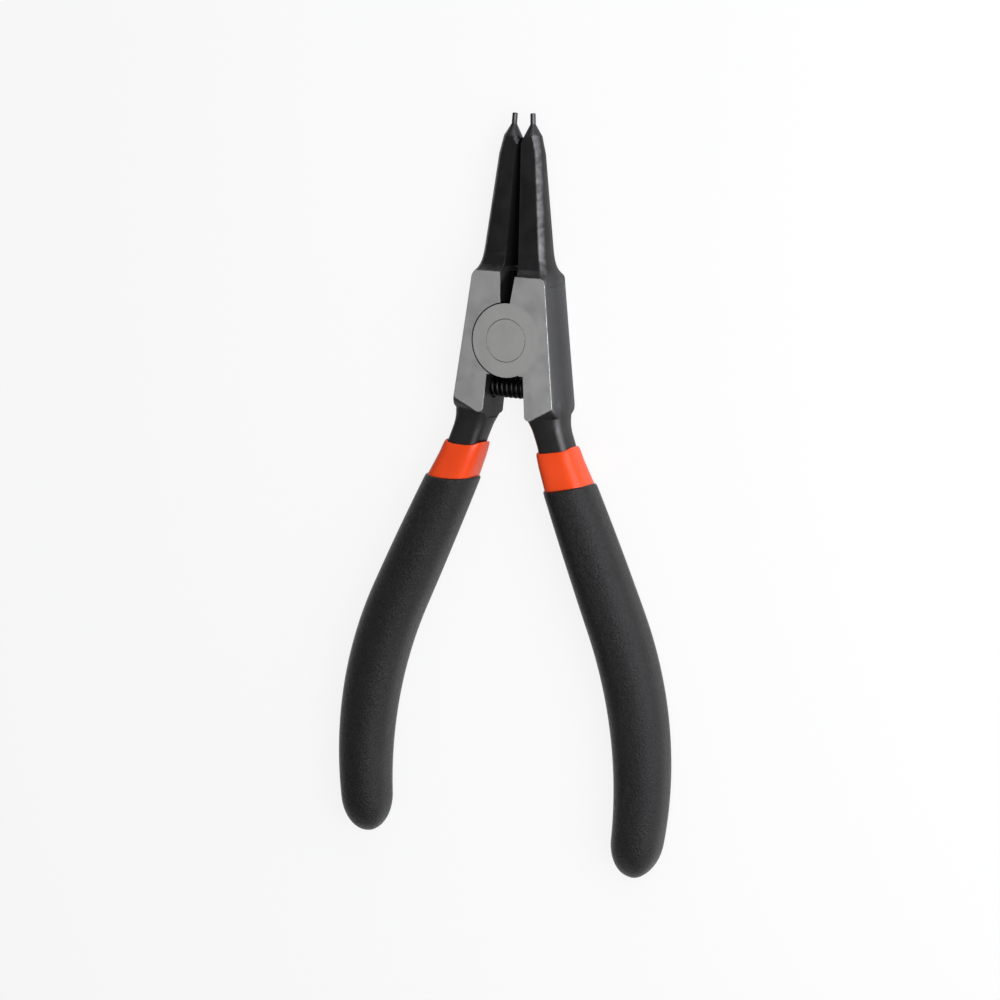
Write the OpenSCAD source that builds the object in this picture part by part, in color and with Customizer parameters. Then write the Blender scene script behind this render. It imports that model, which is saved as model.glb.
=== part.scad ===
// External circlip pliers with straight tips, drawn at rest with the tips closed.
// Frame: Z is the rivet axis, +Y runs to the tips and +X to the right-hand lever.
// Z = 0 is the ground face at the back of the joint.
// Everything is modelled about the mid-plane of the joint and lifted into the frame at the end.

/* [Lap joint] */
// Thickness of the joint between its two ground faces
head_t = 8.5; // [8:0.1:9.2]
// Diameter of the round lap that each lever turns on
lap_d = 13.7; // [13.4:0.1:14]
// Diameter of the rivet's shank
rivet_d = 6; // [4.5:0.1:6.6]
// Diameter of the rivet's flush countersunk ends
rivet_head_d = 8; // [7.4:0.1:9]
// Depth of each countersunk end
rivet_head_h = 0.9; // [0.6:0.1:1.2]
// Height of the ground face above the pivot on the pocket side
face_top = 12.6; // [12.2:0.1:13]
// How much lower the ground face sits on the lap side
face_shift = 0.85; // [0.2:0.05:1.1]
// Half width across the shoulders of the ground face
shoulder_x = 7.55; // [7.3:0.05:7.8]
// Half width across the hips of the ground face
hip_x = 10.4; // [10:0.1:10.8]
// Extra half width of the forging at its parting line
draft = 0.45; // [0.3:0.05:0.6]

/* [Jaws] */
// Distance from the pivot to the ends of the tip pins
tip_y = 41.5; // [40:0.5:44]
// Width of a jaw at its root
jaw_root_w = 5.5; // [5.2:0.05:5.6]
// Width of a jaw where its tip is turned
jaw_tip_w = 3.9; // [3.5:0.05:4]
// Thickness of a jaw at its root
jaw_root_t = 5.9; // [5.6:0.1:6.2]
// Thickness of a jaw where its tip is turned
jaw_tip_t = 3.5; // [3.3:0.1:3.9]
// Gap between the closed jaws at their roots
root_gap = 2.6; // [2.3:0.1:2.8]
// Gap between the closed jaws at their tips
tip_gap = 0.5; // [0.4:0.1:0.8]
// Diameter of a tip pin
pin_d = 1; // [0.9:0.05:1.3]
// Length of a tip pin
pin_len = 1.85; // [1.5:0.05:2.2]
// Half angle of the turned cone behind a tip pin
cone_angle = 29; // [26:1:33]
// Lean of a tip pin toward the other one
pin_lean = 3; // [1:0.5:5]

/* [Handles] */
// Angle of the straight part of a handle from the centre line
handle_angle = 23.7; // [23:0.1:25]
// Length of the straight part of a handle
straight_len = 42; // [38:0.5:46]
// Bend radius of the lower part of a handle
bend_r = 79; // [72:1:90]
// Length along a handle from its root to the end of the grip
handle_len = 90.5; // [86:0.5:94]
// Width of the forged tang
tang_w = 6.3; // [6:0.1:6.5]
// Thickness of the forged tang
tang_t = 6; // [5.6:0.1:6.2]

/* [Grips] */
// Distance along a handle from its root to the coloured band
band_top = 8.4; // [7.4:0.2:10]
// Distance along a handle from its root to the black grip
grip_top = 15.6; // [14.4:0.2:17]
// Thickness of the inner sleeve at the top of its band
sleeve_lip = 0.45; // [0.35:0.05:0.55]
// Thickness of the inner sleeve at the rim of the grip
sleeve_wall = 0.95; // [0.85:0.05:1.05]
// Thickness of the inner sleeve under the grip
sleeve_under = 0.7; // [0.5:0.05:0.8]
// Width of the grip at its top
grip_top_w = 9.2; // [9:0.1:9.6]
// Thickness of the grip at its top
grip_top_t = 9.6; // [9.4:0.1:10]
// Width of the grip at its belly
grip_w = 10.7; // [10.3:0.1:11.4]
// Tilt of the dipped edges from square to the handle
dip_tilt = 17; // [8:1:20]
// Thickness of the grip at its belly
grip_t = 10.4; // [10.3:0.1:11]

/* [Return spring] */
// Outside diameter of the coil
spring_d = 4.1; // [3.7:0.1:4.3]
// Diameter of the spring wire
wire_d = 0.65; // [0.5:0.05:0.7]
// Number of turns
spring_turns = 12; // [10:1:12]
// Half width of the slot that shows the spring
slot_x = 3.75; // [3.5:0.05:4]
// Depth of the blind seat that holds each end of the spring
seat_depth = 2; // [1.6:0.1:2.4]

/* [Fits] */
// Gap round each lap in its pocket
pocket_gap = 0.23; // [0.15:0.01:0.3]
// Gap between the two laps
lap_gap = 0.06; // [0.04:0.01:0.1]
// Radial clearance of the rivet in the levers
rivet_gap = 0.04; // [0.02:0.01:0.08]
// Gap between the layers on a handle
coat_gap = 0.02; // [0.01:0.01:0.04]
// Radial clearance of the spring in its seats
seat_gap = 0.2; // [0.15:0.01:0.25]

/* [Hidden] */
$fn = 64;

// Colours of the finishes
oxide = [0.16, 0.16, 0.16];
ground_steel = [0.56, 0.56, 0.54];
coil_black = [0.1, 0.1, 0.1];
orange = [0.89, 0.28, 0.14];
grip_black = [0.18, 0.18, 0.18];

// Joint
half_t = head_t / 2;
grind = 0.6;
lap_r = lap_d / 2;
pocket_r = lap_r + pocket_gap;

// Round corners of the ground faces, and what the shoulder and the hip gain at the parting line
inner_r = 0.6;
inner_x = -0.5;
shoulder_r = 1.2;
shoulder_gain = 2.2;
hip_r = 0.75;
hip_y = -10.75;
hip_gain = 0.35;
hip_drop = 1.7;
lap_trim = 0.5;
heel_r = 0.9;
heel = [5.2, -12.75];
corner_steps = 6;
side_round = 5;
head_levels = [-1, -0.94, -0.86, -0.74, -0.5, 0, 0.5, 0.74, 0.86, 0.94, 1];

// Jaw: straight tapers from the root to the turned end, and a sweep into the shoulder
root_y = face_top + 1.2;
turned_y = tip_y - 4.4;
sweep_y = root_y + 5;
sweep_len = 6.4;
sweep_w = 1;
sweep_in = 0.25;
sweep_t = 1.25;
nose_y = turned_y - 2.9;
nose_in = 0.13;
jaw_round = 1.1;
jaw_inner_round = 0.15;
corner_share = 0.4;

// Notch between the jaw roots, at the parting line
notch_y = 6.4;
notch_end = face_top + 0.9;
lap_notch_x = 0.35;
pocket_notch_x = 1.2;
notch_draft = atan(0.2 / half_t);

// Turned tip
pin_r = pin_d / 2;
pin_in = 0.15;
pin_axis_x = tip_gap / 2 + jaw_tip_w / 2 - pin_in;
tip_fillet = 0.7;
pin_chamfer = 0.12;
cone_reach = 8;

// Handle path and its cross-sections
handle_root = [5.9, -12.3];
root_set = 0.6;
set_from = 3;
set_len = 8;
dip_start = 2;
dip_fade = 15;
ring_points = 20;
tang_square = 3.5;
sleeve_square = 3.2;
grip_square = 2.6;
ramp_len = 5;
ramp_t = 1.15;
flare_len = 6.5;
flare_w = 2.5;
flare_from = 0.8;
tang_start = -3;
tang_round = 1.5;
sleeve_round = 3.1;
grip_round = 7.5;
grip_belly = 50;
lip_round = 0.4;
sleeve_thins = 6;
// Stations along the handle that the tang and its two coats share, so that their skins nest
coat_end = handle_len - 6.1;
band_stops = [for (i = [0 : 3]) band_top + (grip_top - band_top) * i / 3];
under_stops = [for (i = [0 : 17]) grip_top + 4 + (coat_end - grip_top - 4) * i / 17];
stops = concat(band_stops, under_stops);

// Spring
spring_r = spring_d / 2 - wire_d / 2;
spring_y = -lap_r - 0.1 - spring_d / 2;
slot_top = -6.4;
slot_end = -15;
slot_lean = 0.08;
slot_at_spring = slot_x + slot_lean * (slot_top - spring_y);
seat_x = slot_at_spring + seat_depth;
spring_len = 2 * seat_x - 0.04;
turn_steps = 12;
wire_sides = 8;

function mix(a, b, t) = a + (b - a) * t;
function signed_pow(v, p) = sign(v) * pow(abs(v), p);

// Lowering of the lap side of the forging, from 0 at the pocket face to face_shift at the lap face
function shear(z) = face_shift * (1 + z / half_t) / 2;

// Closed skin through a list of rings that all have the same number of points
module loft(rings) {
    n = len(rings[0]);
    m = len(rings);
    polyhedron(
        points = [for (r = rings) each r],
        faces = [
            [for (i = [0 : n - 1]) i],
            [for (i = [n - 1 : -1 : 0]) (m - 1) * n + i],
            for (j = [0 : m - 2], i = [0 : n - 1]) [j * n + i, (j + 1) * n + i, (j + 1) * n + (i + 1) % n],
            for (j = [0 : m - 2], i = [0 : n - 1]) [j * n + i, (j + 1) * n + (i + 1) % n, j * n + (i + 1) % n]
        ]
    );
}

// Handle path: straight at first, then an arc that turns back toward the centre line
function heading(s) = handle_angle - max(0, s - straight_len) * 180 / (PI * bend_r);
function path(s) =
    let (a = handle_angle, l = min(s, straight_len), h = heading(s))
    [handle_root.x + l * sin(a) + bend_r * (cos(h) - cos(a)),
     handle_root.y - l * cos(a) + bend_r * (sin(h) - sin(a))];

// The tang leaves the head a little outside the path and joins it above the band
function set_out(s) = root_set * min(1, max(0, 1 - (s - set_from) / set_len));
// The dipped edges are level with the bath, so the rings near them lean over the path
function lean(s) =
    tan(dip_tilt) * max(0, min(1, (s - band_top) / dip_start + 1, (grip_top - s) / dip_fade + 1));

// Rounded-square ring across the handle path, a wide and b thick each way from its middle
function ring(s, a, b, square, side = 0, drop = 0) =
    let (p = path(s), h = heading(s), k = lean(s))
    [for (i = [0 : ring_points - 1])
        let (t = 360 * i / ring_points,
             u = a * signed_pow(cos(t), 2 / square),
             v = u + side + set_out(s),
             w = b * signed_pow(sin(t), 2 / square))
        [p.x + v * cos(h) + k * u * sin(h), p.y + v * sin(h) - k * u * cos(h) - drop * shear(w), w]];

// Rings of a round end that closes at s: the section shrinks along a quarter ellipse of length r
function round_end(s, r, a, b, square, steps = [20, 40, 58, 72, 82]) =
    [for (t = steps) ring(s - r + r * sin(t), a * cos(t), b * cos(t), square)];
function reversed(list) = [for (i = [len(list) - 1 : -1 : 0]) list[i]];

// Steps of a blunt end that only rounds its rim
blunt = [25, 48];

function spaced(from, to, n) = [for (i = [0 : n]) mix(from, to, i / n)];

// Forged lever
function jaw_t(y) = (y - root_y) / (turned_y - root_y);
function sweep(y, power) = pow(max(0, sweep_y - max(y, sweep_y - sweep_len)) / sweep_len, power);
function half_gap(y) = mix(root_gap, tip_gap, jaw_t(y)) / 2;
function jaw_in(y) = half_gap(y) + sweep_in * sweep(y, 4);
function jaw_out(y) =
    half_gap(y) + mix(jaw_root_w, jaw_tip_w, jaw_t(y)) + sweep_w * sweep(y, 4)
    - nose_in * max(0, y - nose_y);
function jaw_half_t(y) = mix(jaw_root_t, jaw_tip_t, jaw_t(y)) / 2 + sweep_t * sweep(y, 6);

// Quarter of a jaw section, inward from its side: the parting line, then the corner at the face, which
// lies between a flat chamfer and a full round
function jaw_corner(y, r, slope, steps) =
    let (b = jaw_half_t(y), d = slope * (b - r) / half_t)
    concat([[0, 0]], [for (i = [0 : steps])
        let (t = 90 * i / steps, c = i / steps)
        [d + r * mix(c, 1 - cos(t), corner_share), b - r + r * mix(c, sin(t), corner_share)]]);

// The outer side of a jaw is drafted and well rounded, the inner side is flat
function jaw_ring(y) =
    let (outer = jaw_corner(y, jaw_round, draft, 4), inner = jaw_corner(y, jaw_inner_round, 0, 2),
         xi = jaw_in(y), xo = jaw_out(y))
    [for (p = concat(
        [for (i = [len(outer) - 1 : -1 : 1]) [xo - outer[i].x, -outer[i].y]],
        [for (q = outer) [xo - q.x, q.y]],
        [for (i = [len(inner) - 1 : -1 : 1]) [xi + inner[i].x, inner[i].y]],
        [for (q = inner) [xi + q.x, -q.y]]))
        [p[0], y - shear(p[1]) * max(0, 1 - jaw_t(y)), p[1]]];

module jaw_blank() {
    loft([for (y = concat([tip_y + 1, nose_y], spaced(sweep_y, sweep_y - sweep_len, 9),
        [face_top - 1.6])) jaw_ring(y)]);
}

// Everything that the lathe leaves at the tip: pin, fillet, cone and the clear space behind them
module turned_envelope() {
    fillet_y = tip_y - pin_len;
    cone_y = fillet_y - tip_fillet * sin(90 - cone_angle) / 2;
    cone_r = pin_r + tip_fillet * (1 - cos(cone_angle));
    back_y = cone_y - (cone_reach - cone_r) / tan(cone_angle);
    profile = concat(
        [[0, face_top - 6], [cone_reach, face_top - 6], [cone_reach, back_y]],
        [for (t = [1, 0.75, 0.5, 0.25, 0])
            [pin_r + tip_fillet * (1 - cos(t * cone_angle)), mix(fillet_y, cone_y, t)]],
        [[pin_r, tip_y - pin_chamfer], [pin_r - pin_chamfer, tip_y], [0, tip_y]]);
    translate([pin_axis_x, turned_y, 0])
        rotate([0, 0, pin_lean])
            translate([0, -turned_y, 0])
                rotate([-90, 0, 0])
                    rotate_extrude()
                        polygon(profile);
}

module jaw() {
    intersection() {
        jaw_blank();
        turned_envelope();
    }
}

// Swelling of the head's rim, from 0 at the ground faces to 1 at the parting line
function bulge(z) = 1 - pow(min(1, abs(z) / half_t), side_round);

// Corners of the head at one level as [x, y, radius]: heel, hip, shoulder and inner top
function head_corners(z) =
    let (b = bulge(z), k = shoulder_r + shoulder_gain * b)
    [[heel.x, heel.y, heel_r + draft * b],
     [hip_x - hip_r + hip_gain * b - lap_trim * max(0, z / half_t), hip_y - hip_drop * b, hip_r + draft * b],
     [shoulder_x - k, face_top - k, k + draft * b],
     [inner_x + inner_r, face_top - inner_r, inner_r + draft * b]];

// Direction that the straight side between two round corners faces
function side_facing(a, b) =
    let (d = norm([b.x - a.x, b.y - a.y]))
    atan2(b.y - a.y, b.x - a.x) - 90 + asin((a.z - b.z) / d);

function head_ring(z) =
    let (c = head_corners(z), n = len(c))
    [for (i = [0 : n - 1])
        let (from = side_facing(c[(i + n - 1) % n], c[i]),
             turn = (side_facing(c[i], c[(i + 1) % n]) - from + 720) % 360)
        for (j = [0 : corner_steps])
            let (t = from + turn * j / corner_steps)
            [c[i].x + c[i].z * cos(t), c[i].y + c[i].z * sin(t) - shear(z), z]];

module head_blank() {
    loft([for (z = concat([-half_t - grind], half_t * head_levels, [half_t + grind])) head_ring(z)]);
}

// Tang: thick and flared where it leaves the head, then an even bar that follows the handle path
function tang_ramp(s) = ramp_t * pow(max(0, ramp_len - max(s, 0)) / ramp_len, 2);
function tang_flare(s) = flare_w * pow(max(0, flare_len - max(s, flare_from)) / flare_len, 2);
function tang_ring(s, grow = 0) =
    ring(s, tang_w / 2 + tang_flare(s) / 2 + grow, tang_t / 2 + tang_ramp(s) + grow, tang_square,
        tang_flare(s) / 2, max(0, 1 - max(0, s) / flare_len));

module tang() {
    loft(concat(
        [for (s = concat([tang_start], spaced(0, band_top - 0.5, 8), stops)) tang_ring(s)],
        round_end(coat_end + tang_round, tang_round, tang_w / 2, tang_t / 2, tang_square, blunt)));
}

module spring_slot() {
    translate([0, 0, -half_t - 2 * grind])
        linear_extrude(head_t + 4 * grind)
            polygon([[-lap_r, slot_top], [slot_x, slot_top],
                [slot_x + slot_lean * (slot_top - slot_end), slot_end], [-lap_r, slot_end]]);
}

// Drafted cut between the jaw roots: side 1 is the lap layer, side -1 the pocket layer
module notch(side, x) {
    rotate([0, side * notch_draft, 0])
        translate([0, 0, side > 0 ? -grind : -head_t - grind])
            linear_extrude(head_t + grind)
                polygon([[-lap_r, notch_y], [x, notch_y], [jaw_in(notch_end), notch_end],
                    [-lap_r, notch_end]]);
}

module forging() {
    difference() {
        union() {
            head_blank();
            jaw();
            tang();
        }
        spring_slot();
        notch(1, lap_notch_x);
        notch(-1, pocket_notch_x);
    }
}

module lever() {
    difference() {
        intersection() {
            union() {
                forging();
                translate([0, 0, -grind])
                    cylinder(h = half_t + 2 * grind, r = lap_r);
            }
            translate([-2 * lap_r, -handle_len - 2 * head_t, -half_t])
                cube([handle_len, handle_len + tip_y + 3 * head_t, head_t]);
        }
        translate([0, 0, -head_t])
            cylinder(h = head_t + lap_gap / 2, r = pocket_r);
        translate([0, 0, -head_t])
            cylinder(h = 2 * head_t, r = rivet_d / 2 + rivet_gap);
        translate([0, 0, half_t - rivet_head_h])
            cylinder(h = 2 * rivet_head_h, r1 = rivet_d / 2 + rivet_gap,
                r2 = rivet_head_d - rivet_d / 2 + rivet_gap);
        translate([0, spring_y, 0])
            rotate([0, 90, 0])
                cylinder(h = seat_x, r = spring_d / 2 + seat_gap);
    }
}

// Rivet: a shank with two countersunk ends, ground flush with the faces
module rivet() {
    rotate_extrude()
        polygon([
            [0, -half_t], [rivet_head_d / 2, -half_t], [rivet_d / 2, -half_t + rivet_head_h],
            [rivet_d / 2, half_t - rivet_head_h], [rivet_head_d / 2, half_t], [0, half_t]
        ]);
}

// Spring: closed turns at both ends and open turns between them
spring_pitch = (spring_len - wire_d - 2 * wire_d) / (spring_turns - 2);
function coil_x(turn) =
    wire_d * min(turn, 1) + spring_pitch * min(max(turn - 1, 0), spring_turns - 2)
    + wire_d * max(turn - spring_turns + 1, 0) - spring_len / 2 + wire_d / 2;
function wire_ring(turn) =
    let (a = 360 * turn)
    [for (i = [0 : wire_sides - 1])
        let (b = 360 * i / wire_sides, r = spring_r + wire_d / 2 * cos(b))
        [coil_x(turn) + wire_d / 2 * sin(b), spring_y + r * cos(a), r * sin(a)]];

module coil() {
    loft([for (i = [spring_turns * turn_steps : -1 : 0]) wire_ring(i / turn_steps)]);
}

// Inner sleeve: a closed sock on the tang, thin at its lip and thicker below the band
function band_t(s) = min(1, (s - band_top) / (grip_top - band_top));
function under_t(s) = min(1, max(0, s - grip_top) / sleeve_thins);
function sleeve_t(s) =
    mix(sleeve_lip, sleeve_wall, band_t(s)) - (sleeve_wall - sleeve_under) * under_t(s);
function sleeve_ring(s, grow = 0) =
    ring(s, tang_w / 2 + sleeve_t(s) + grow, tang_t / 2 + sleeve_t(s) + grow,
        mix(tang_square, sleeve_square, band_t(s)));
function sleeve_inner(s) = ring(s, tang_w / 2 + coat_gap, tang_t / 2 + coat_gap, tang_square);

module inner_sleeve() {
    in_w = tang_w / 2 + coat_gap;
    in_t = tang_t / 2 + coat_gap;
    out_w = tang_w / 2 + sleeve_under;
    out_t = tang_t / 2 + sleeve_under;
    loft(concat(
        reversed(round_end(coat_end + tang_round + coat_gap, tang_round, in_w, in_t, tang_square, blunt)),
        [for (s = reversed(stops)) sleeve_inner(s)],
        [sleeve_ring(band_top, -lip_round / 2)],
        [for (s = stops) sleeve_ring(max(s, band_top + lip_round / 2))],
        round_end(coat_end + sleeve_round, sleeve_round, out_w, out_t, sleeve_square, blunt)));
}

// Grip: a closed sock on the inner sleeve, with a rolled lip, a belly and a round end
function swell(top, belly, s) =
    belly / 2 - (belly - top) / 2 * pow((s - grip_belly) / (grip_belly - grip_top), 2);
function grip_ring(s, grow = 0) =
    ring(s, swell(grip_top_w, grip_w, s) + grow, swell(grip_top_t, grip_t, s) + grow, grip_square);

module grip() {
    in_w = tang_w / 2 + sleeve_under + coat_gap;
    in_t = tang_t / 2 + sleeve_under + coat_gap;
    last = handle_len - grip_round;
    loft(concat(
        reversed(round_end(coat_end + sleeve_round + coat_gap, sleeve_round, in_w, in_t, sleeve_square,
            blunt)),
        [for (s = reversed(concat([grip_top], under_stops))) sleeve_ring(s, coat_gap)],
        [grip_ring(grip_top, -lip_round)],
        [for (s = spaced(grip_top + lip_round, last, len(under_stops))) grip_ring(s)],
        round_end(handle_len, grip_round, swell(grip_top_w, grip_w, last), swell(grip_top_t, grip_t, last),
            grip_square)));
}

// Places a right-hand piece in the frame, or turns it over to make the left-hand one
module placed() {
    translate([0, 0, half_t])
        children();
}

module turned_over() {
    translate([0, 0, half_t])
        rotate([0, 180, 0])
            children();
}

module left_lever() { color(oxide) turned_over() lever(); }
module right_lever() { color(oxide) placed() lever(); }
module pivot_rivet() { color(ground_steel) placed() rivet(); }
module return_spring() { color(coil_black) placed() coil(); }
module left_inner_sleeve() { color(orange) turned_over() inner_sleeve(); }
module right_inner_sleeve() { color(orange) placed() inner_sleeve(); }
module left_grip() { color(grip_black) turned_over() grip(); }
module right_grip() { color(grip_black) placed() grip(); }

left_lever();
right_lever();
pivot_rivet();
return_spring();
left_inner_sleeve();
right_inner_sleeve();
left_grip();
right_grip();
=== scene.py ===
import math
import bmesh
import bpy
from mathutils import Matrix, Vector
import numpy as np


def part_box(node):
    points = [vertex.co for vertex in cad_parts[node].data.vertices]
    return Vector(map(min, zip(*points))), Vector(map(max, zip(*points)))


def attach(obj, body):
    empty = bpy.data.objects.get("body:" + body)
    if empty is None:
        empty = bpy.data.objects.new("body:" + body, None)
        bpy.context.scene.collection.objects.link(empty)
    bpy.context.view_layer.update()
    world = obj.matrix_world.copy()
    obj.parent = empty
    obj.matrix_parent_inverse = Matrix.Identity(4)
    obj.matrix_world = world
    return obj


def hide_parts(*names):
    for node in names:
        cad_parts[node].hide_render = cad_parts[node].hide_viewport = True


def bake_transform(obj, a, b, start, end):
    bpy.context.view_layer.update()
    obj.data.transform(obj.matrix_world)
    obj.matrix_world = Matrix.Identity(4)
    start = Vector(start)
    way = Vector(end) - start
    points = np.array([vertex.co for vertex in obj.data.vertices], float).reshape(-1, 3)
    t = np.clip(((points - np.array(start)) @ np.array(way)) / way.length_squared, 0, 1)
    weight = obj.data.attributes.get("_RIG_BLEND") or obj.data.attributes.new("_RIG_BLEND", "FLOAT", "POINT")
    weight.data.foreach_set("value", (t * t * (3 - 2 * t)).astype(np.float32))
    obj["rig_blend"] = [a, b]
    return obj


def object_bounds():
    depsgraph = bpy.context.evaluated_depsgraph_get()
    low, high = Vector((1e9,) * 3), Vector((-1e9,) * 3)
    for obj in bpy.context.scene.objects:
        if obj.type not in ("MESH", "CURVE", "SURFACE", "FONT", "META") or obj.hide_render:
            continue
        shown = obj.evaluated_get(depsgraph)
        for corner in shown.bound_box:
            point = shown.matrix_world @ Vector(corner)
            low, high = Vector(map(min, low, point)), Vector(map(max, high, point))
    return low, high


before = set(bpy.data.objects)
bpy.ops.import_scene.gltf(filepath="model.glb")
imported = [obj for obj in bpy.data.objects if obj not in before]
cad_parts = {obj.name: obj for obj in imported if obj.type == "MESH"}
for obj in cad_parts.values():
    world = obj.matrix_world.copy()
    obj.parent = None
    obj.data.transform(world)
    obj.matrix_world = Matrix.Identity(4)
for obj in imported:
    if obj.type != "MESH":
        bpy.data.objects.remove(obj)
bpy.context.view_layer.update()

# The two levers are drop forged from alloy steel and blackened. Their joint faces are ground bright
# after blackening, so the grey stops at a sharp line, and the tips are turned down to pins.
mm = 0.001
face_heights = [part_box("pivot_rivet")[0][2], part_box("pivot_rivet")[1][2]]
mid_height = sum(face_heights) / 2
edge_break = 0.08 * mm
turned_from = 35 * mm
pins_from = 39.3 * mm
lap_r = 6.85 * mm
lap_fade = 0.3 * mm
rim_from = 7.3 * mm
face_slack = 0.02 * mm
jaw_from = 12 * mm
# Reach and fade of the painted shade between the jaws, measured across from the middle.
gap_shade_reach = 1.92 * mm
gap_shade_fade = 0.25 * mm
jaw_taper = 0.04
# Jaw corner faces get a lighter colour: rubbed wear and a painted highlight along the corners.
corner_slope = (0.4, 0.93)
corner_rub_and_highlight = 0.5
joint_end = (10.5 * mm, 13.5 * mm)
# Depth and tang share of the lighter oxide, which is thinner oxide and painted sheen.
thinning_and_sheen_depth = (0.5 * mm, 4.0 * mm)
tang_thinning_and_sheen = 0.35


def shader_node(tree, kind, inputs=None, **settings):
    node = tree.nodes.new("ShaderNode" + kind)
    for name, value in settings.items():
        setattr(node, name, value)
    for name, value in (inputs or {}).items():
        if isinstance(value, bpy.types.NodeSocket):
            tree.links.new(value, node.inputs[name])
        else:
            node.inputs[name].default_value = value
    return node


def effect_group(name, inputs, outputs):
    tree = bpy.data.node_groups.new(name, "ShaderNodeTree")
    for label, kind, value in inputs:
        socket = tree.interface.new_socket(label, in_out="INPUT", socket_type="NodeSocket" + kind)
        socket.default_value = value
    for label, kind in outputs:
        tree.interface.new_socket(label, in_out="OUTPUT", socket_type="NodeSocket" + kind)
    return tree, tree.nodes.new("NodeGroupInput"), tree.nodes.new("NodeGroupOutput")


def grain_effect():
    tree, given, made = effect_group(
        "surface_grain",
        [("Grain Size", "Float", 1.0), ("Patch Size", "Float", 1.0), ("Stretch", "Vector", (1, 1, 1))],
        [("Grain", "Float"), ("Patches", "Float")])
    place = shader_node(tree, "TexCoord")
    laid = shader_node(tree, "VectorMath", {0: place.outputs["Object"], 1: given.outputs["Stretch"]},
                       operation="MULTIPLY")
    per_grain = shader_node(tree, "Math", {0: 1 / mm, 1: given.outputs["Grain Size"]}, operation="DIVIDE")
    per_patch = shader_node(tree, "Math", {0: 1 / mm, 1: given.outputs["Patch Size"]}, operation="DIVIDE")
    grain = shader_node(tree, "TexNoise", {"Vector": laid.outputs[0], "Scale": per_grain.outputs[0],
                                           "Detail": 3.0, "Roughness": 0.6})
    patch = shader_node(tree, "TexNoise", {"Vector": place.outputs["Object"], "Scale": per_patch.outputs[0],
                                           "Detail": 1.5, "Roughness": 0.45})
    tree.links.new(grain.outputs["Fac"], made.inputs["Grain"])
    tree.links.new(patch.outputs["Fac"], made.inputs["Patches"])
    return tree


# Wear mask on broken edges; on the jaw corners it also carries a painted highlight.
def wear_effect():
    tree, given, made = effect_group("edge_wear_and_highlight", [("Rub Size", "Float", 1.0)], [("Wear And Highlight", "Float")])
    edge = shader_node(tree, "Attribute", attribute_name="edge")
    place = shader_node(tree, "TexCoord")
    per_rub = shader_node(tree, "Math", {0: 1 / mm, 1: given.outputs["Rub Size"]}, operation="DIVIDE")
    rub = shader_node(tree, "TexNoise", {"Vector": place.outputs["Object"], "Scale": per_rub.outputs[0],
                                         "Detail": 3.0, "Roughness": 0.6})
    patchy = shader_node(tree, "MapRange", {"Value": rub.outputs["Fac"], "From Min": 0.35, "From Max": 0.65})
    wear_and_highlight = shader_node(tree, "Math", {0: edge.outputs["Fac"], 1: patchy.outputs["Result"]},
                       operation="MULTIPLY")
    tree.links.new(wear_and_highlight.outputs[0], made.inputs["Wear And Highlight"])
    return tree


surface_grain = grain_effect()
edge_wear_and_highlight = wear_effect()


def new_finish(name):
    finish = bpy.data.materials.new(name)
    finish.use_nodes = True
    return finish, finish.node_tree, finish.node_tree.nodes["Principled BSDF"]


def grained(tree, grain_size, patch_size, stretch=(1, 1, 1)):
    grain = shader_node(tree, "Group", node_tree=surface_grain)
    grain.inputs["Grain Size"].default_value = grain_size
    grain.inputs["Patch Size"].default_value = patch_size
    grain.inputs["Stretch"].default_value = stretch
    return grain.outputs["Grain"], grain.outputs["Patches"]


def wear_and_highlight_on_edges(tree, rub_size):
    wear = shader_node(tree, "Group", node_tree=edge_wear_and_highlight)
    wear.inputs["Rub Size"].default_value = rub_size
    return wear.outputs["Wear And Highlight"]


def toned(tree, value, low, high, darker, lighter):
    ramp = shader_node(tree, "ValToRGB", {"Fac": value})
    ramp.color_ramp.elements[0].position = low
    ramp.color_ramp.elements[0].color = (*darker, 1)
    ramp.color_ramp.elements[1].position = high
    ramp.color_ramp.elements[1].color = (*lighter, 1)
    return ramp.outputs["Color"]


def ranged(tree, value, low, high, from_low=0.3, from_high=0.7):
    spread = shader_node(tree, "MapRange", {"Value": value, "From Min": from_low, "From Max": from_high,
                                            "To Min": low, "To Max": high})
    return spread.outputs["Result"]


def over(tree, mask, below, above):
    mix = shader_node(tree, "Mix", {"Factor": mask}, data_type="RGBA")
    for socket, value in ((mix.inputs[6], below), (mix.inputs[7], above)):
        if isinstance(value, bpy.types.NodeSocket):
            tree.links.new(value, socket)
        else:
            socket.default_value = (*value, 1)
    return mix.outputs[2]


def bumped(tree, surface, height, depth, strength):
    bump = shader_node(tree, "Bump", {"Height": height, "Distance": depth, "Strength": strength})
    tree.links.new(bump.outputs["Normal"], surface.inputs["Normal"])


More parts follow.
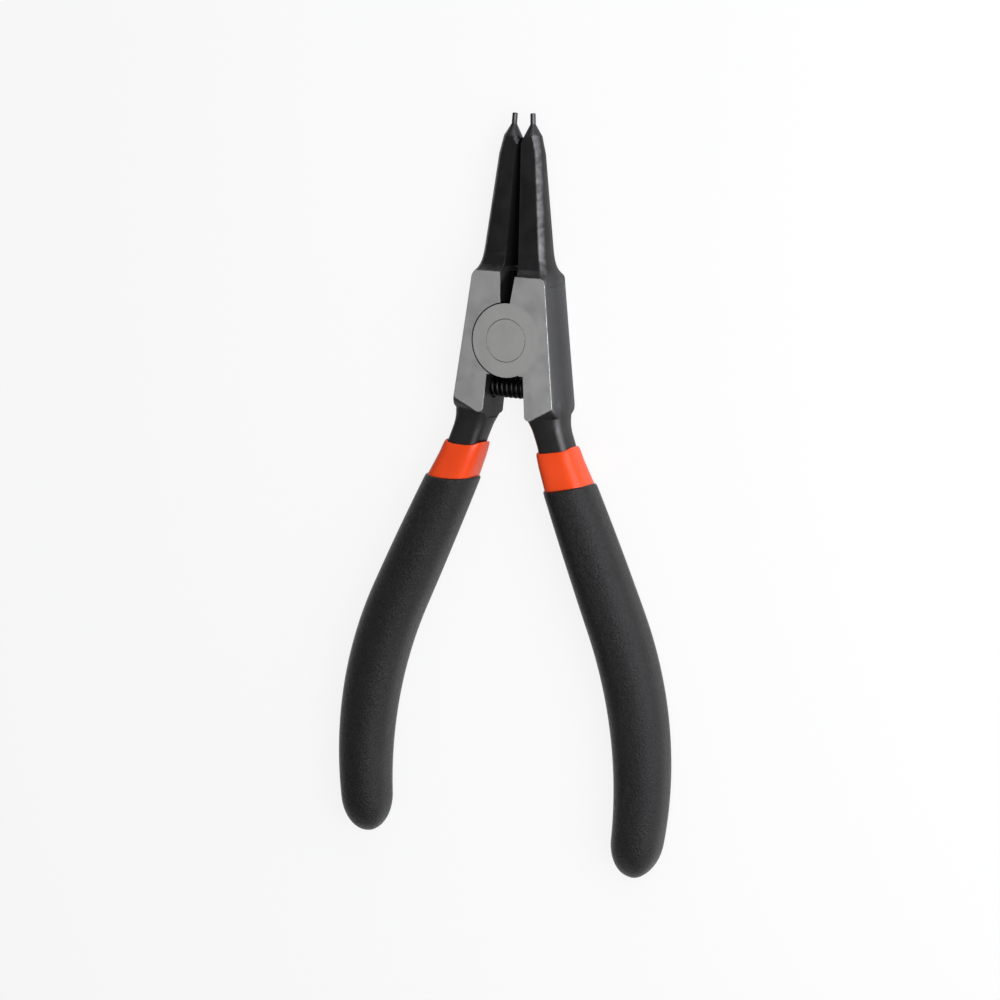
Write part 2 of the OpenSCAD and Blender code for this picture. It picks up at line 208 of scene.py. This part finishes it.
def blackened_steel():
    finish, tree, surface = new_finish("blackened_steel")
    grain, patches = grained(tree, 0.25, 3.5)
    wear_and_highlight = wear_and_highlight_on_edges(tree, 1.6)
    scale = toned(tree, patches, 0.3, 0.72, (0.042, 0.041, 0.040), (0.060, 0.059, 0.058))
    place = shader_node(tree, "TexCoord")
    at = shader_node(tree, "SeparateXYZ", {0: place.outputs["Object"]})
    off_mid = shader_node(tree, "Math", {0: at.outputs["Z"], 1: mid_height}, operation="SUBTRACT")
    off_mid = shader_node(tree, "Math", {0: off_mid.outputs[0]}, operation="ABSOLUTE")
    # Around the joint the oxide turns lighter and bluish, most beside the ground faces, less on the tangs
    # and not on the jaws: thinner oxide and a painted sheen for the lamp's reflection on the head's sides.
    by_face = ranged(tree, off_mid.outputs[0], 0.35, 1.0, *thinning_and_sheen_depth)
    by_jaw = ranged(tree, at.outputs["Y"], 1.0, 0.0, *joint_end)
    by_tang = ranged(tree, at.outputs["Y"], tang_thinning_and_sheen, 1.0, -joint_end[1], -joint_end[0])
    by_joint = shader_node(tree, "Math", {0: by_jaw, 1: by_tang}, operation="MULTIPLY")
    thinned_oxide_and_sheen = shader_node(tree, "Math", {0: by_face, 1: by_joint.outputs[0]}, operation="MULTIPLY")
    scale = over(tree, thinned_oxide_and_sheen.outputs[0], scale, (0.112, 0.113, 0.118))
    # Lighter on the jaws' corner faces: rubbed wear and a painted highlight along the corners.
    scale = over(tree, wear_and_highlight, scale, (0.17, 0.17, 0.18))
    # Painted shade: between the jaws the colour is near-black and matt, with no metal shine, where shade
    # falls in the gap.
    aside = shader_node(tree, "Math", {0: at.outputs["X"]}, operation="ABSOLUTE")
    aside = shader_node(tree, "Math", {0: at.outputs["Y"], 1: jaw_taper, 2: aside.outputs[0]},
                        operation="MULTIPLY_ADD")
    clear_of_gap_shade = ranged(tree, aside.outputs[0], 0.0, 1.0, gap_shade_reach, gap_shade_reach + gap_shade_fade)
    tree.links.new(over(tree, clear_of_gap_shade, (0.008, 0.008, 0.008), scale), surface.inputs["Base Color"])
    tree.links.new(ranged(tree, grain, 0.38, 0.50), surface.inputs["Roughness"])
    tree.links.new(clear_of_gap_shade, surface.inputs["Metallic"])
    surface.inputs["Specular IOR Level"].default_value = 0.0
    bumped(tree, surface, grain, 0.03 * mm, 0.5)
    return finish


def ground_steel():
    finish, tree, surface = new_finish("ground_steel")
    grain, patches = grained(tree, 0.5, 4.0, (6, 1.2, 1))
    wear_and_highlight = wear_and_highlight_on_edges(tree, 2.0)
    sheen = toned(tree, patches, 0.28, 0.75, (0.55, 0.55, 0.54), (0.67, 0.67, 0.655))
    _, smudges = grained(tree, 0.5, 2.4)
    sheen = over(tree, ranged(tree, smudges, 0.0, 0.4, 0.56, 0.74), sheen, (0.43, 0.43, 0.415))
    place = shader_node(tree, "TexCoord")
    flat = shader_node(tree, "VectorMath", {0: place.outputs["Object"], 1: (1, 1, 0)}, operation="MULTIPLY")
    reach = shader_node(tree, "VectorMath", {0: flat.outputs[0]}, operation="LENGTH")
    lap = shader_node(tree, "MapRange", {"Value": reach.outputs["Value"], "From Min": lap_r + lap_fade,
                                         "From Max": lap_r - lap_fade, "To Max": 0.55})
    sheen = over(tree, lap.outputs["Result"], sheen, (0.71, 0.705, 0.68))
    tree.links.new(over(tree, wear_and_highlight, sheen, (0.24, 0.24, 0.24)), surface.inputs["Base Color"])
    tree.links.new(ranged(tree, grain, 0.48, 0.60), surface.inputs["Roughness"])
    surface.inputs["Metallic"].default_value = 1.0
    bumped(tree, surface, grain, 0.006 * mm, 0.5)
    return finish


def turned_steel():
    finish, tree, surface = new_finish("turned_steel")
    grain, patches = grained(tree, 0.4, 2.0, (0.3, 3, 0.3))
    tone = toned(tree, patches, 0.3, 0.7, (0.060, 0.060, 0.063), (0.105, 0.105, 0.110))
    tree.links.new(tone, surface.inputs["Base Color"])
    tree.links.new(ranged(tree, grain, 0.34, 0.5), surface.inputs["Roughness"])
    surface.inputs["Metallic"].default_value = 1.0
    bumped(tree, surface, grain, 0.008 * mm, 0.5)
    return finish


def merged_solid(node):
    solid = bmesh.new()
    solid.from_mesh(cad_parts[node].data)
    bmesh.ops.remove_doubles(solid, verts=solid.verts, dist=0.001 * mm)
    bmesh.ops.dissolve_limit(solid, angle_limit=math.radians(0.4), verts=solid.verts, edges=solid.edges,
                             use_dissolve_boundaries=False, delimit=set())
    return solid


def break_edges(solid, width, chosen):
    edge = solid.loops.layers.float.new("edge")
    solid.normal_update()
    sharp = [line for line in solid.edges if line.is_manifold and chosen(line)]
    cut = bmesh.ops.bevel(solid, geom=sharp, offset=width, offset_type="OFFSET", affect="EDGES", segments=2,
                          profile=0.5, material=-1, clamp_overlap=False)
    for face in cut["faces"]:
        for loop in face.loops:
            loop[edge] = 1.0
    return cut["faces"]


def finished_piece(solid, name, finishes, crease=38):
    for face in solid.faces:
        face.smooth = True
    for line in solid.edges:
        line.smooth = not (line.is_manifold and line.calc_face_angle() > math.radians(crease))
    mesh = bpy.data.meshes.new(name)
    solid.to_mesh(mesh)
    solid.free()
    for finish in finishes:
        mesh.materials.append(finish)
    piece = bpy.data.objects.new(name, mesh)
    bpy.context.collection.objects.link(piece)
    return piece


lever_finishes = [blackened_steel(), ground_steel(), turned_steel()]
ground_slot = 1
turned_slot = 2


def is_ground(face):
    off_level = min(abs(face.calc_center_median().z - height) for height in face_heights)
    return abs(face.normal.z) > 0.99 and off_level < face_slack


def is_ground_rim(line):
    middle = (line.verts[0].co + line.verts[1].co) / 2
    one_side = [is_ground(face) for face in line.link_faces].count(True) == 1
    return one_side and middle.xy.length > rim_from


def forged_lever(side):
    lever = merged_solid(side + "_lever")
    rim = set(break_edges(lever, edge_break, is_ground_rim))
    edge = lever.loops.layers.float["edge"]
    lever.normal_update()
    for face in lever.faces:
        middle = face.calc_center_median()
        if face in rim or is_ground(face):
            face.material_index = ground_slot
        elif middle.y > pins_from or (middle.y > turned_from and face.normal.y > 0.3):
            face.material_index = turned_slot
        # The jaws' corner faces are marked for the lighter colour of rubbed wear and painted highlight.
        elif middle.y > jaw_from and corner_slope[0] < abs(face.normal.z) < corner_slope[1]:
            for loop in face.loops:
                loop[edge] = corner_rub_and_highlight
    piece = finished_piece(lever, side + "_forged_lever", lever_finishes)
    even = piece.modifiers.new("even_shading", "WEIGHTED_NORMAL")
    even.keep_sharp = True
    even.weight = 80
    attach(piece, side + "_half")
    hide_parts(side + "_lever")


for side in ("left", "right"):
    forged_lever(side)

# The rivet is a steel pin headed over into a countersink on each side and ground flush with the faces,
# so that only a fine ring shows where its head ends.
ring_groove = 0.10 * mm
rivet = merged_solid("pivot_rivet")
break_edges(rivet, ring_groove, lambda line: line.calc_face_angle() > math.radians(30))
rivet_piece = finished_piece(rivet, "flush_rivet", [lever_finishes[ground_slot]])
level = rivet_piece.modifiers.new("even_shading", "WEIGHTED_NORMAL")
level.keep_sharp = True
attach(rivet_piece, "left_half")
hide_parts("pivot_rivet")

# The return spring is blackened music wire coiled with a closed turn at each end.
# It sits in a blind hole in each lever and pushes the handles apart.
spring_low, spring_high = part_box("return_spring")
wire_d = 0.65 * mm
coil_middle = Vector((0, (spring_low[1] + spring_high[1]) / 2, mid_height))
coil_r = (spring_high[1] - spring_low[1] - wire_d) / 2
coil_turns = 12
turn_steps = 28
seat_hold = 2 * mm
open_pitch = (spring_high[0] - spring_low[0] - 3 * wire_d) / (coil_turns - 2)


def spring_wire():
    finish, tree, surface = new_finish("spring_wire")
    grain, patches = grained(tree, 0.12, 1.2)
    tone = toned(tree, patches, 0.3, 0.7, (0.020, 0.019, 0.018), (0.040, 0.038, 0.036))
    tree.links.new(tone, surface.inputs["Base Color"])
    tree.links.new(ranged(tree, grain, 0.3, 0.44), surface.inputs["Roughness"])
    surface.inputs["Metallic"].default_value = 1.0
    bumped(tree, surface, grain, 0.01 * mm, 0.4)
    return finish


coil = bmesh.new()
wire = bmesh.ops.create_circle(coil, cap_ends=True, segments=14, radius=wire_d / 2)
start = Vector((spring_low[0] + wire_d / 2, coil_middle.y + coil_r, mid_height))
bmesh.ops.translate(coil, vec=start, verts=wire["verts"])
growing = list(wire["verts"]) + list({e for v in wire["verts"] for e in v.link_edges})
for turns, pitch in ((1, wire_d), (coil_turns - 2, open_pitch), (1, wire_d)):
    spun = bmesh.ops.spin(coil, geom=growing, cent=coil_middle, axis=(1, 0, 0), angle=math.tau * turns,
                          steps=turn_steps * turns, dvec=(pitch / turn_steps, 0, 0))
    growing = [g for g in spun["geom_last"] if not isinstance(g, bmesh.types.BMFace)]
bmesh.ops.contextual_create(coil, geom=[g for g in growing if isinstance(g, bmesh.types.BMEdge)])
bmesh.ops.recalc_face_normals(coil, faces=coil.faces)
coil_piece = finished_piece(coil, "coil_spring", [spring_wire()], 60)
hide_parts("return_spring")
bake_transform(coil_piece, "left_half", "right_half",
         start=(spring_low[0] + seat_hold, coil_middle.y, mid_height),
         end=(spring_high[0] - seat_hold, coil_middle.y, mid_height))

# Each handle is dipped twice in liquid plastic. The first coat is glossy orange, thin at its upper lip,
# and shows as a band. It has set over the square tang, so soft corners run down it.
tang_w = 3.15 * mm
tang_t = 3.0 * mm
handle_root = Vector((5.9, -12.3, 0)) * mm
handle_angle = math.radians(23.7)
straight_len = 42 * mm
bend_r = 79 * mm
band_top = 8.4 * mm
grip_top = 15.6 * mm
coat_end = 84.4 * mm
root_shift = 0.6 * mm
shift_from = 3 * mm
shift_run = 8 * mm
tilt_rise = 2 * mm
tilt_fade = 15 * mm
wave_fade = 25 * mm
wave_lost = 0.95
lip_wall = 0.45 * mm
rim_wall = 0.95 * mm
hidden_wall = 0.70 * mm
hidden_run = 6 * mm
tang_fit = 0.05 * mm
lip_roll = 0.22 * mm
sleeve_round = 3.1 * mm
sleeve_square = 3.6
dip_tilt = {"left": math.tan(math.radians(23)), "right": math.tan(math.radians(12))}
coat_sides = 72


def clamp(value):
    return min(1.0, max(0.0, value))


def handle_station(side, s, half_w, half_t):
    turn = handle_angle - max(0.0, s - straight_len) / bend_r
    run = min(s, straight_len)
    at = handle_root + Vector((
        run * math.sin(handle_angle) + bend_r * (math.cos(turn) - math.cos(handle_angle)),
        -run * math.cos(handle_angle) + bend_r * (math.sin(turn) - math.sin(handle_angle)), mid_height))
    across = Vector((math.cos(turn), math.sin(turn), 0))
    along = Vector((math.sin(turn), -math.cos(turn), 0))
    at += across * root_shift * clamp(1 - (s - shift_from) / shift_run)
    lean = dip_tilt[side] * min(clamp((s - band_top) / tilt_rise + 1), clamp((grip_top - s) / tilt_fade + 1))
    wide = (across + along * lean) * half_w
    thick = Vector((0, 0, half_t))
    waved = along * (1 - wave_lost * clamp((s - grip_top) / wave_fade))
    return Matrix(((*wide, 0), (*thick, 0), (*waved, 0), (*at, 1))).transposed()


def squared_ring(coat, square, edge_wave):
    ring = bmesh.ops.create_circle(coat, cap_ends=True, segments=coat_sides, radius=1)["verts"]
    for point in ring:
        turn = math.atan2(point.co.y, point.co.x)
        point.co.x = math.copysign(abs(math.cos(turn)) ** (2 / square), math.cos(turn))
        point.co.y = math.copysign(abs(math.sin(turn)) ** (2 / square), math.sin(turn))
        point.co.z = edge_wave(turn)
    return ring


def dipped_coat(side, square, edge_wave, stations):
    coat = bmesh.new()
    ring = squared_ring(coat, square, edge_wave)
    place = handle_station(side, *stations[0])
    bmesh.ops.transform(coat, matrix=place, verts=ring)
    for station in stations[1:]:
        edges = list({e for v in ring for e in v.link_edges if all(end in ring for end in e.verts)})
        drawn = bmesh.ops.extrude_edge_only(coat, edges=edges)["geom"]
        ring = [g for g in drawn if isinstance(g, bmesh.types.BMVert)]
        following = handle_station(side, *station)
        bmesh.ops.transform(coat, matrix=following @ place.inverted(), verts=ring)
        place = following
    edges = list({e for v in ring for e in v.link_edges if all(end in ring for end in e.verts)})
    bmesh.ops.contextual_create(coat, geom=edges)
    if side == "left":
        turned_over = Matrix.Translation((0, 0, mid_height)) @ Matrix.Rotation(math.pi, 4, "Y") \
            @ Matrix.Translation((0, 0, -mid_height))
        bmesh.ops.transform(coat, matrix=turned_over, verts=coat.verts)
    bmesh.ops.recalc_face_normals(coat, faces=coat.faces)
    return coat


def steps(first, last, count):
    return [first + (last - first) * i / count for i in range(count + 1)]


def sleeve_wall(s):
    thick = lip_wall + (rim_wall - lip_wall) * clamp((s - band_top) / (grip_top - band_top))
    return thick - (rim_wall - hidden_wall) * clamp((s - grip_top) / hidden_run)


def coated(s, thick):
    return s, tang_w + thick, tang_t + thick


def sleeve_stations():
    inside = [coated(s, tang_fit) for s in reversed(steps(band_top + lip_roll, coat_end, 24))]
    half_lip = sleeve_wall(band_top) / 2
    rolled = [coated(band_top + lip_roll * (1 - math.sin(turn)),
                     half_lip - (half_lip - tang_fit) * math.cos(turn))
              for turn in steps(0, math.pi, 6)]
    outside = [coated(s, sleeve_wall(s))
               for s in steps(band_top + 0.6 * mm, grip_top, 9) + steps(grip_top + 2 * mm, coat_end, 24)]
    full = coated(coat_end, sleeve_wall(coat_end))
    closed = [(coat_end + sleeve_round * math.sin(turn), full[1] * math.cos(turn), full[2] * math.cos(turn))
              for turn in steps(math.radians(15), math.radians(48), 3)]
    return inside + rolled + outside + closed


def orange_vinyl():
    finish, tree, surface = new_finish("orange_vinyl")
    grain, patches = grained(tree, 0.9, 6.0)
    tone = toned(tree, patches, 0.25, 0.75, (0.73, 0.058, 0.010), (0.79, 0.072, 0.015))
    tree.links.new(tone, surface.inputs["Base Color"])
    tree.links.new(ranged(tree, grain, 0.18, 0.26), surface.inputs["Roughness"])
    surface.inputs["Specular IOR Level"].default_value = 0.28
    bumped(tree, surface, patches, 0.06 * mm, 0.25)
    return finish


vinyl = orange_vinyl()
lip_waves = {"left": lambda a: mm * (-0.26 * math.cos(2 * a) + 0.10 * math.sin(3 * a + 0.6)),
             "right": lambda a: mm * (-0.24 * math.cos(2 * a) + 0.08 * math.sin(3 * a - 0.9))}
for side in ("left", "right"):
    sleeve = dipped_coat(side, sleeve_square, lip_waves[side], sleeve_stations())
    sleeve_piece = finished_piece(sleeve, side + "_orange_sleeve", [vinyl], 60)
    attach(sleeve_piece, side + "_half")
    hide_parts(side + "_inner_sleeve")

# The second coat is a thick black foamed plastic that makes the grip. It has a soft rolled rim, a belly
# for the hand, a round end, and the fine pebbled skin that the foam sets with.
grip_round = 7.5 * mm
grip_last = 90.5 * mm - grip_round
grip_belly = 50 * mm
grip_w = {"top": 9.2 * mm, "belly": 10.7 * mm}
grip_t = {"top": 9.6 * mm, "belly": 10.4 * mm}
grip_rim = 0.45 * mm
rim_step = 0.12 * mm
sleeve_fit = 0.02 * mm
grip_square = 2.6


def grip_half(s, size):
    off_belly = (s - grip_belly) / (grip_belly - grip_top)
    return size["belly"] / 2 - (size["belly"] - size["top"]) / 2 * off_belly ** 2


def grip_stations():
    inside = [coated(s, sleeve_wall(s) + sleeve_fit)
              for s in reversed(steps(grip_top + grip_rim, coat_end, 24))]
    rolled = [coated(grip_top, sleeve_wall(grip_top) + rim_step)]
    for turn in steps(0, math.pi / 2, 5):
        back = grip_rim * (1 - math.sin(turn))
        rolled.append((grip_top + grip_rim * (1 - math.cos(turn)),
                       grip_half(grip_top, grip_w) - back, grip_half(grip_top, grip_t) - back))
    outside = [(s, grip_half(s, grip_w), grip_half(s, grip_t))
               for s in steps(grip_top + 1 * mm, grip_last, 44)]
    end_w = grip_half(grip_last, grip_w)
    end_t = grip_half(grip_last, grip_t)
    closed = [(grip_last + grip_round * math.sin(turn), end_w * math.cos(turn), end_t * math.cos(turn))
              for turn in steps(math.radians(8), math.radians(86), 10)]
    return inside + rolled + outside + closed


def foamed_grip():
    finish, tree, surface = new_finish("foamed_grip")
    grain, patches = grained(tree, 0.45, 7.0)
    pebble, _ = grained(tree, 0.24, 2.0)
    tone = toned(tree, grain, 0.40, 0.72, (0.003, 0.003, 0.0031), (0.012, 0.012, 0.0122))
    rubbed = ranged(tree, patches, 0.0, 0.3, 0.45, 0.8)
    tree.links.new(over(tree, rubbed, tone, (0.012, 0.012, 0.0122)), surface.inputs["Base Color"])
    tree.links.new(ranged(tree, pebble, 0.26, 0.44), surface.inputs["Roughness"])
    surface.inputs["Specular IOR Level"].default_value = 0.36
    height = shader_node(tree, "Math", {0: grain, 1: pebble}, operation="ADD")
    bumped(tree, surface, height.outputs[0], 0.3 * mm, 0.65)
    return finish


foam = foamed_grip()
rim_waves = {"left": lambda a: mm * (-0.16 * math.cos(2 * a) + 0.05 * math.sin(3 * a)),
             "right": lambda a: mm * (-0.14 * math.cos(2 * a) + 0.05 * math.sin(3 * a + 1.3))}
for side in ("left", "right"):
    grip = dipped_coat(side, grip_square, rim_waves[side], grip_stations())
    grip_piece = finished_piece(grip, side + "_foam_grip", [foam], 60)
    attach(grip_piece, side + "_half")
    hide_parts(side + "_grip")

# The stand-in studio: a white table that the tool lies on, a soft lamp low on the right, one above it
# and a weak one behind the tips, under an even grey sky, seen by the camera from the photograph's place.
table_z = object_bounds()[0][2] - 0.02 * mm
table_half = 4.0
white_share = 0.85
# Painted shade in reflections: near the tool, the table's glow as seen mirrored is weaker.
mirror_from = 10 * mm
mirror_to = 60 * mm
# Place, radius and fade of a painted shadow on the table under the spring.
spring_shade_at = (1.1 * mm, 9.2 * mm, 0)
spring_shade_r = 1.9 * mm
spring_shade_fade = 0.6 * mm
table = bmesh.new()
bmesh.ops.create_grid(table, x_segments=1, y_segments=1, size=table_half,
                      matrix=Matrix.Translation((0, 0, table_z)))
table_mesh = bpy.data.meshes.new("white_table")
table.to_mesh(table_mesh)
table.free()
table_piece = bpy.data.objects.new("white_table", table_mesh)
bpy.context.collection.objects.link(table_piece)

white = bpy.data.materials.new("table_white")
white.use_nodes = True
tree = white.node_tree
surface = tree.nodes["Principled BSDF"]
surface.inputs["Roughness"].default_value = 0.9
surface.inputs["Specular IOR Level"].default_value = 0.0
glow = shader_node(tree, "Emission", {"Color": (1, 1, 1, 1), "Strength": 1.0})
path = shader_node(tree, "LightPath")
place = shader_node(tree, "TexCoord")
away = shader_node(tree, "VectorMath", {0: place.outputs["Object"]}, operation="LENGTH")
# Painted shade in reflections: the table's glow in glossy rays rises from 0.25 at 10 mm from under the pivot
# to 0.9 at 60 mm.
reflection_shade_fade = shader_node(tree, "MapRange", {"Value": away.outputs["Value"], "From Min": mirror_from,
                                       "From Max": mirror_to, "To Min": 0.25, "To Max": 0.9})
mirrored = shader_node(tree, "Math", {0: path.outputs["Is Glossy Ray"],
                                      1: path.outputs["Is Transmission Ray"]}, operation="MAXIMUM")
mirrored = shader_node(tree, "Math", {0: mirrored.outputs[0], 1: reflection_shade_fade.outputs["Result"]},
                       operation="MULTIPLY")
seen = shader_node(tree, "Math", {0: path.outputs["Is Camera Ray"], 1: white_share}, operation="MULTIPLY")
seen = shader_node(tree, "Math", {0: seen.outputs[0], 1: mirrored.outputs[0]}, operation="MAXIMUM")
# Painted shadow: under the spring the table is near-black and does not glow, as if in the tool's shade.
under = shader_node(tree, "Mapping", {"Vector": place.outputs["Object"], "Scale": (0.45, 1, 0),
                                      "Location": spring_shade_at})
aside = shader_node(tree, "VectorMath", {0: under.outputs["Vector"]}, operation="LENGTH")
open_part = shader_node(tree, "MapRange", {"Value": aside.outputs["Value"], "From Min": spring_shade_r,
                                           "From Max": spring_shade_r + spring_shade_fade})
shade = over(tree, open_part.outputs["Result"], (0.03, 0.03, 0.03), (0.76, 0.76, 0.76))
tree.links.new(shade, surface.inputs["Base Color"])
share = shader_node(tree, "Math", {0: seen.outputs[0], 1: open_part.outputs["Result"]}, operation="MULTIPLY")
lit = shader_node(tree, "MixShader", {0: share.outputs[0], 1: surface.outputs[0], 2: glow.outputs[0]})
tree.links.new(lit.outputs[0], tree.nodes["Material Output"].inputs["Surface"])
table_mesh.materials.append(white)

sky = bpy.data.worlds.new("studio_sky")
bpy.context.scene.world = sky
sky.use_nodes = True
sky.node_tree.nodes["Background"].inputs["Color"].default_value = (0.185, 0.185, 0.188, 1)
sky.node_tree.nodes["Background"].inputs["Strength"].default_value = 1.0


def soft_lamp(name, toward, distance, width, height, watts, colour):
    lamp = bpy.data.lights.new(name, "AREA")
    lamp.shape = "RECTANGLE"
    lamp.size = width
    lamp.size_y = height
    lamp.energy = watts
    lamp.color = colour
    stand = bpy.data.objects.new(name, lamp)
    aim = Vector((0, -0.02, mid_height))
    away = Vector(toward).normalized()
    turned = away.to_track_quat("Z", "Y").to_matrix().to_4x4()
    stand.matrix_world = Matrix.Translation(aim + away * distance) @ turned
    bpy.context.collection.objects.link(stand)


soft_lamp("right_softbox", (0.82, 0.18, 0.53), 0.27, 0.36, 0.30, 0.90, (0.92, 0.93, 1.0))
soft_lamp("upper_softbox", (0.55, 0.02, 0.83), 0.42, 0.24, 0.34, 0.85, (1.0, 1.0, 1.0))
soft_lamp("top_softbox", (0.30, 0.80, 0.52), 0.8, 0.6, 0.4, 1.0, (1.0, 1.0, 1.0))

camera = bpy.data.cameras.new("photo_camera")
camera.sensor_width = 36.0
camera.lens = 97.2
camera.shift_x = -0.005
camera.shift_y = -0.005
camera.clip_start = 0.01
tripod = bpy.data.objects.new("photo_camera", camera)
tripod.matrix_world = Matrix((
    (0.8885, -0.1006, 0.4477, 0.22494),
    (0.0350, 0.9877, 0.1523, 0.04757),
    (-0.4575, -0.1197, 0.8811, 0.44919),
    (0, 0, 0, 1)))
bpy.context.collection.objects.link(tripod)
bpy.context.scene.camera = tripod
bpy.context.scene.view_settings.view_transform = "Standard"
